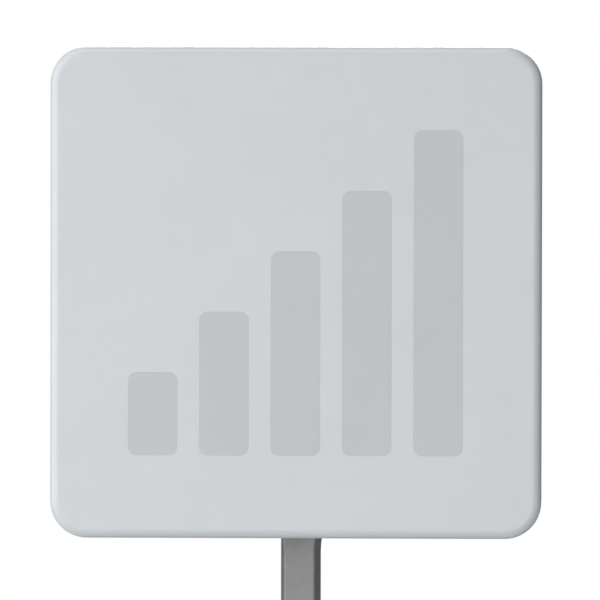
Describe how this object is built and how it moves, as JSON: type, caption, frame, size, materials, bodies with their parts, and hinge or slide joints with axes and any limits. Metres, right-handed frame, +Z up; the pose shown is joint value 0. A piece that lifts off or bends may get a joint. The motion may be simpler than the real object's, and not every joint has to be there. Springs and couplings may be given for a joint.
{
  "type": "flat panel antenna with mast bracket",
  "caption": "Square flat-panel antenna on a tilting bracket, carried by a channel arm with a U-bolt clamp for a round mast.",
  "frame": {"origin": "on the axis of the largest round mast that the clamp takes (50 mm), level with the middle of the clamp", "axes": "+Z up along the mast, -Y out of the panel's front face, +X to the right of somebody who looks at that face"},
  "size_m": [0.26, 0.1586, 0.375],
  "materials": {
    "shell": "satin",
    "seal_rubber": "matte",
    "sheet_aluminium": "satin",
    "circuit_board": "satin",
    "nylon": "matte",
    "zinc_plated_steel": "satin",
    "galvanised_steel": "matte",
    "cast_aluminium": "matte",
    "nickel_plated_brass": "polished",
    "insulator": "matte",
    "gilt_contact": "polished"
  },
  "bodies": {
    "arm": {"mast_arm": "galvanised_steel", "pivot_sleeve": "zinc_plated_steel", "pivot_bolt": "zinc_plated_steel", "pivot_nut": "zinc_plated_steel", "lock_sleeve": "zinc_plated_steel", "lock_bolt": "zinc_plated_steel", "lock_nut": "zinc_plated_steel", "mast_saddle": "cast_aluminium", "clamp_bar": "galvanised_steel", "clamp_washer_left": "zinc_plated_steel", "clamp_washer_right": "zinc_plated_steel", "clamp_nut_left": "zinc_plated_steel", "clamp_nut_right": "zinc_plated_steel"},
    "panel": {"radome": "shell", "rear_cover": "shell", "perimeter_gasket": "seal_rubber", "reflector": "sheet_aluminium", "feed_board": "circuit_board", "driven_patch_upper_left": "sheet_aluminium", "driven_patch_upper_right": "sheet_aluminium", "driven_patch_lower_left": "sheet_aluminium", "driven_patch_lower_right": "sheet_aluminium", "parasitic_patch_upper_left": "sheet_aluminium", "parasitic_patch_upper_right": "sheet_aluminium", "parasitic_patch_lower_left": "sheet_aluminium", "parasitic_patch_lower_right": "sheet_aluminium", "patch_post_upper_left": "nylon", "patch_post_upper_right": "nylon", "patch_post_lower_left": "nylon", "patch_post_lower_right": "nylon", "case_screw_1": "zinc_plated_steel", "case_screw_2": "zinc_plated_steel", "case_screw_3": "zinc_plated_steel", "case_screw_4": "zinc_plated_steel", "case_screw_5": "zinc_plated_steel", "case_screw_6": "zinc_plated_steel", "case_screw_7": "zinc_plated_steel", "case_screw_8": "zinc_plated_steel", "bracket_bolt_upper_left": "zinc_plated_steel", "bracket_bolt_upper_right": "zinc_plated_steel", "bracket_bolt_lower_left": "zinc_plated_steel", "bracket_bolt_lower_right": "zinc_plated_steel", "bracket_nut_upper_left": "zinc_plated_steel", "bracket_nut_upper_right": "zinc_plated_steel", "bracket_nut_lower_left": "zinc_plated_steel", "bracket_nut_lower_right": "zinc_plated_steel", "jack_body_left": "nickel_plated_brass", "jack_body_right": "nickel_plated_brass", "jack_insulator_left": "insulator", "jack_insulator_right": "insulator", "jack_seal_left": "seal_rubber", "jack_seal_right": "seal_rubber", "jack_nut_left": "nickel_plated_brass", "jack_nut_right": "nickel_plated_brass", "feed_lead_left": "gilt_contact", "feed_lead_right": "gilt_contact", "breather_plug": "seal_rubber", "tilt_bracket": "galvanised_steel"},
    "u_bolt": {"u_bolt": "zinc_plated_steel"}
  },
  "joints": [
    {"name": "panel_tilt", "type": "hinge", "parent": "arm", "child": "panel", "pos_m": [0, -0.04597, 0.188], "axis": [1, 0, 0], "range_deg": [-20, 15]},
    {"name": "u_bolt_slide", "type": "slide", "parent": "arm", "child": "u_bolt", "axis": [0, -1, 0], "range_m": [0, 0.0215]}
  ]
}
